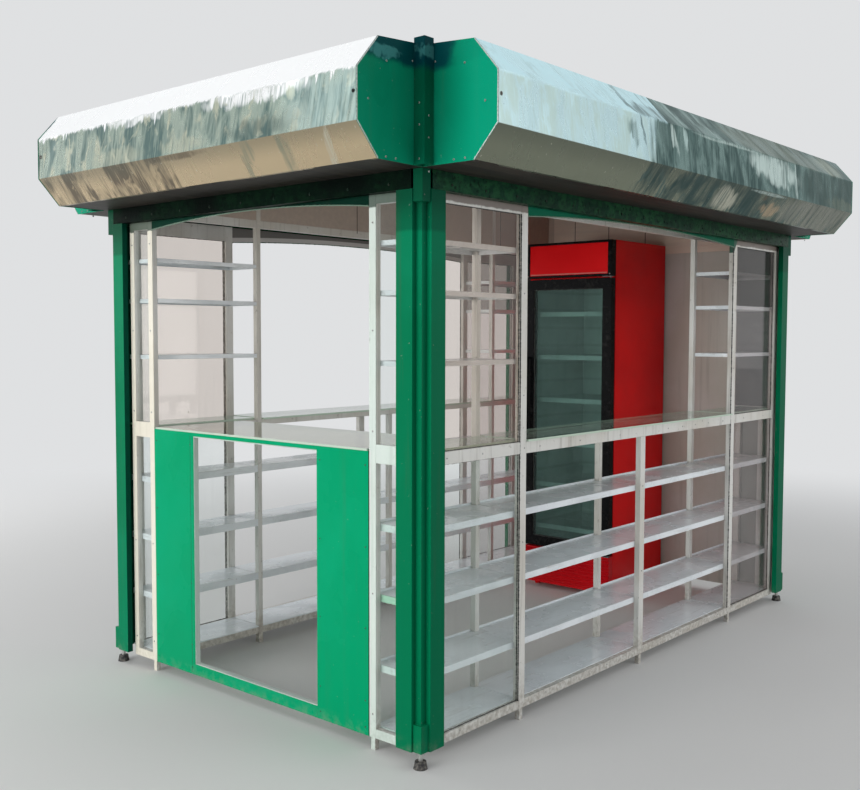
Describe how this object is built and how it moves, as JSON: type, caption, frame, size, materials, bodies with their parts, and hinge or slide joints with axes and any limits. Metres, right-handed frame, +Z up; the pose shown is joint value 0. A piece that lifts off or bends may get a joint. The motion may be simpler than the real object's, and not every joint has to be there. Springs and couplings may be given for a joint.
{
  "type": "street kiosk",
  "caption": "Glazed display kiosk on corner posts, with shelved showcases, counters, a low side doorway, a deep chamfered canopy and an upright drinks cooler inside.",
  "frame": {"origin": "on the ground at the middle of the plan", "axes": "+X along the serving front to the closed right wall, +Y from the serving front to the back, +Z up"},
  "size_m": [3.674, 2.469, 2.404],
  "materials": {
    "green_paint": "gloss enamel over welded steel, streaked and worn at the edges",
    "white_frame": "white powder coat, scuffed",
    "shelf_sheet": "smooth cool white coating",
    "fascia_sheet": "polished thin sheet, dented and streaked",
    "soffit_board": "dark brown coating",
    "roof_board": "plain board",
    "lining_board": "mauve brown laminated board",
    "counter_glass": "clear plate glass",
    "pane_glass": "clear sheet, slightly dirty",
    "wall_sheet": "pale grey gloss sheet",
    "cooler_red": "red gloss enamel",
    "cooler_black": "black gloss",
    "cooler_glass": "tinted double glazing",
    "cooler_wire": "white coated wire",
    "hinge_steel": "dark plated steel",
    "foot_rubber": "black moulded rubber"
  },
  "bodies": {
    "kiosk": {"post_front_left": "green_paint", "post_front_right": "green_paint", "post_back_left": "green_paint", "post_back_right": "green_paint", "feet": "foot_rubber", "beam_front": "green_paint", "beam_back": "green_paint", "beam_left": "green_paint", "beam_right": "green_paint", "fascia_front": "fascia_sheet", "fascia_back": "fascia_sheet", "fascia_left": "fascia_sheet", "fascia_right": "fascia_sheet", "fascia_end_plates": "green_paint", "canopy_corner_tubes": "green_paint", "soffit_boards": "soffit_board", "roof_deck": "roof_board", "lining_boards": "lining_board", "front_uprights": "white_frame", "front_rails": "white_frame", "front_shelves": "shelf_sheet", "front_counter": "counter_glass", "front_glass": "pane_glass", "back_uprights": "white_frame", "back_rails": "white_frame", "back_shelves": "shelf_sheet", "back_counter": "counter_glass", "back_glass": "pane_glass", "left_frame": "white_frame", "entry_panel": "green_paint", "doorway_trim": "white_frame", "left_counter": "counter_glass", "right_frame": "white_frame", "right_wall_sheet": "wall_sheet", "valance_front": "green_paint", "valance_back": "green_paint", "valance_left": "green_paint", "cooler_cabinet": "cooler_red", "cooler_header": "cooler_black", "cooler_header_panel": "cooler_red", "cooler_grille": "cooler_red", "cooler_shelf_set": "cooler_wire", "cooler_hinges": "hinge_steel"},
    "cooler_door": {"cooler_door_frame": "cooler_black", "cooler_door_glass": "cooler_glass"}
  },
  "joints": [
    {"name": "cooler_door_hinge", "type": "hinge", "parent": "kiosk", "child": "cooler_door", "pos_m": [0.886, -0.1755, 1], "axis": [0, 0, 1], "range_deg": [0, 100]}
  ]
}
